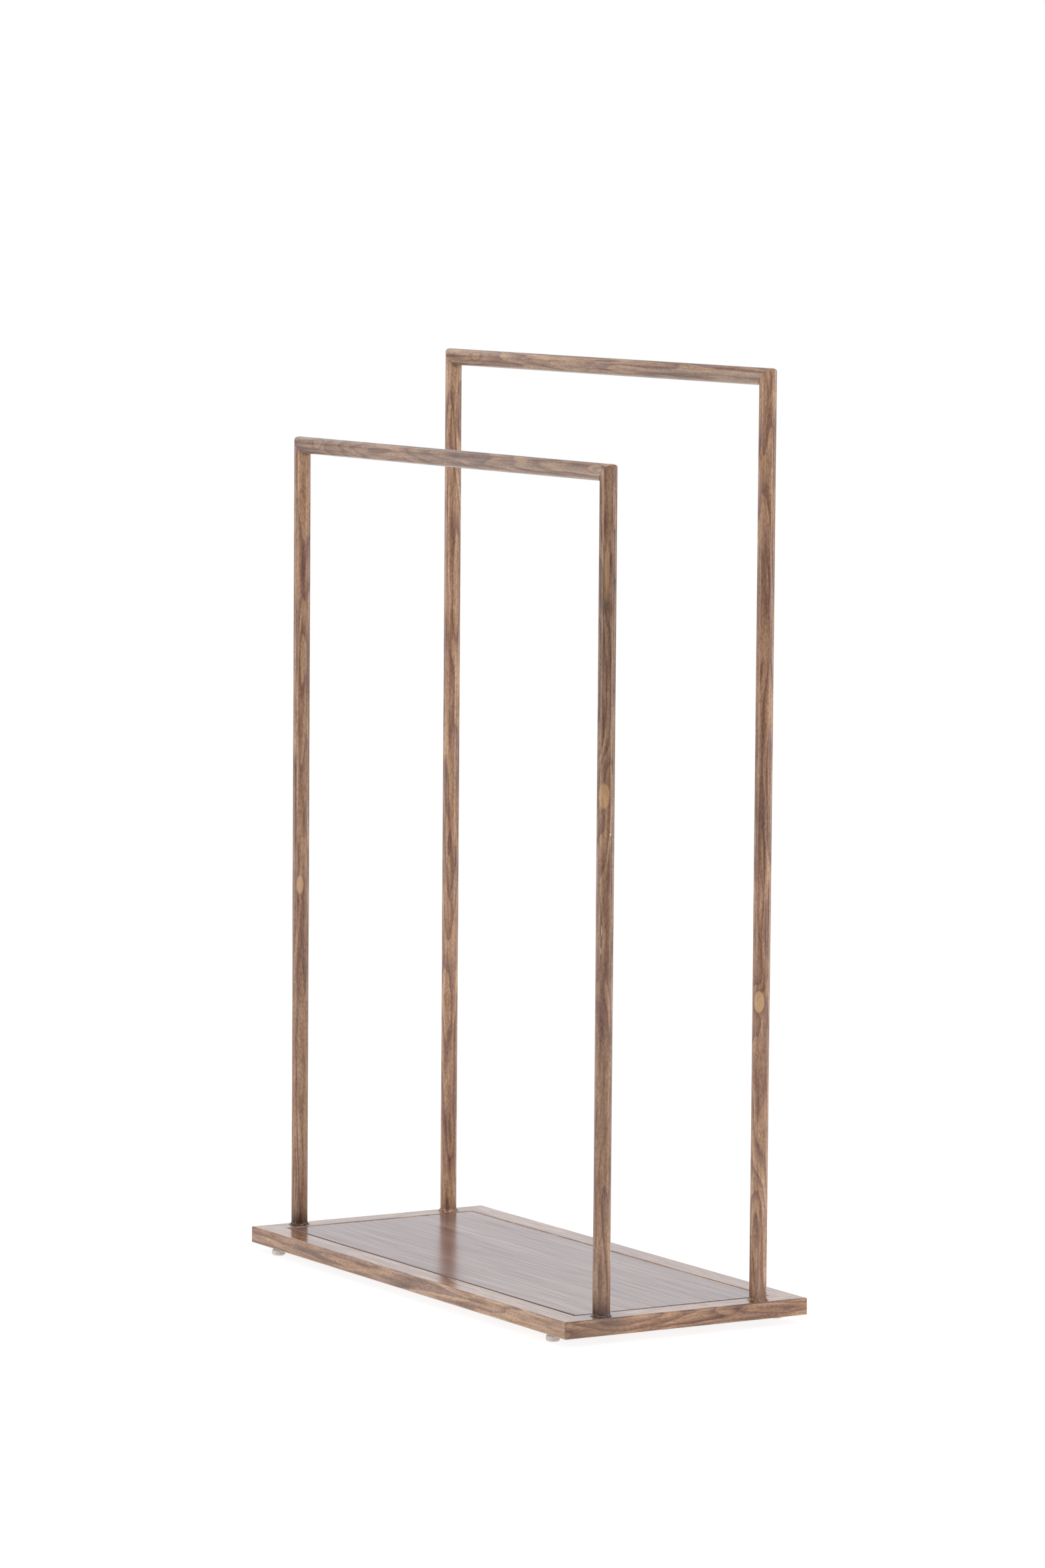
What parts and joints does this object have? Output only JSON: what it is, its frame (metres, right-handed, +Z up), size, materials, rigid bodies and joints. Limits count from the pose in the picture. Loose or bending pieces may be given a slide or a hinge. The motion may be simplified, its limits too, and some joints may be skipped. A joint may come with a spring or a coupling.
{
  "type": "towel rack",
  "caption": "Free-standing towel rack: two round-tube U frames of different heights on a flat rectangular base with an inset board and screw-in levelling feet.",
  "frame": {"origin": "on the floor under the middle of the base", "axes": "+X along the towel bars, +Y from the lower front frame to the taller rear frame, +Z up"},
  "size_m": [0.55, 0.245, 0.8212],
  "materials": {
    "walnut_print_steel": "walnut grain printed on steel under a semi-gloss clear coat",
    "walnut_board": "straight-grained walnut face under a semi-gloss lacquer",
    "brown_base_coat": "plain brown powder coat",
    "zinc_plated_steel": "bright zinc plate",
    "off_white_nylon": "moulded, satin"
  },
  "bodies": {
    "rack": {"rail_front": "walnut_print_steel", "rail_rear": "walnut_print_steel", "rail_left": "walnut_print_steel", "rail_right": "walnut_print_steel", "towel_bar_front": "walnut_print_steel", "towel_bar_rear": "walnut_print_steel", "upright_front_left": "walnut_print_steel", "upright_front_right": "walnut_print_steel", "upright_rear_left": "walnut_print_steel", "upright_rear_right": "walnut_print_steel", "weld_front_left": "walnut_print_steel", "weld_front_right": "walnut_print_steel", "weld_rear_left": "walnut_print_steel", "weld_rear_right": "walnut_print_steel", "base_panel": "walnut_board", "crossbar_left": "brown_base_coat", "crossbar_right": "brown_base_coat", "panel_screws": "zinc_plated_steel", "insert_front_left": "zinc_plated_steel", "insert_front_right": "zinc_plated_steel", "insert_rear_left": "zinc_plated_steel", "insert_rear_right": "zinc_plated_steel"},
    "screw_front_left": {"stud_front_left": "zinc_plated_steel"},
    "base_front_left": {"foot_front_left": "off_white_nylon"},
    "screw_front_right": {"stud_front_right": "zinc_plated_steel"},
    "base_front_right": {"foot_front_right": "off_white_nylon"},
    "screw_rear_left": {"stud_rear_left": "zinc_plated_steel"},
    "base_rear_left": {"foot_rear_left": "off_white_nylon"},
    "screw_rear_right": {"stud_rear_right": "zinc_plated_steel"},
    "base_rear_right": {"foot_rear_right": "off_white_nylon"}
  },
  "joints": [
    {"name": "height_front_left", "type": "slide", "parent": "rack", "child": "screw_front_left", "axis": [0, 0, -1], "range_m": [-0.0005, 0.007]},
    {"name": "turn_front_left", "type": "hinge", "parent": "screw_front_left", "child": "base_front_left", "pos_m": [-0.24, -0.113, 0.003], "axis": [0, 0, -1], "range_deg": [-180, 2520]},
    {"name": "height_front_right", "type": "slide", "parent": "rack", "child": "screw_front_right", "axis": [0, 0, -1], "range_m": [-0.0005, 0.007]},
    {"name": "turn_front_right", "type": "hinge", "parent": "screw_front_right", "child": "base_front_right", "pos_m": [0.24, -0.113, 0.003], "axis": [0, 0, -1], "range_deg": [-180, 2520]},
    {"name": "height_rear_left", "type": "slide", "parent": "rack", "child": "screw_rear_left", "axis": [0, 0, -1], "range_m": [-0.0005, 0.007]},
    {"name": "turn_rear_left", "type": "hinge", "parent": "screw_rear_left", "child": "base_rear_left", "pos_m": [-0.24, 0.113, 0.003], "axis": [0, 0, -1], "range_deg": [-180, 2520]},
    {"name": "height_rear_right", "type": "slide", "parent": "rack", "child": "screw_rear_right", "axis": [0, 0, -1], "range_m": [-0.0005, 0.007]},
    {"name": "turn_rear_right", "type": "hinge", "parent": "screw_rear_right", "child": "base_rear_right", "pos_m": [0.24, 0.113, 0.003], "axis": [0, 0, -1], "range_deg": [-180, 2520]}
  ],
  "couplings": [
    {"joint": "turn_front_left", "follows": "height_front_left", "rad_per_m": 6283.2},
    {"joint": "turn_front_right", "follows": "height_front_right", "rad_per_m": 6283.2},
    {"joint": "turn_rear_left", "follows": "height_rear_left", "rad_per_m": 6283.2},
    {"joint": "turn_rear_right", "follows": "height_rear_right", "rad_per_m": 6283.2}
  ]
}
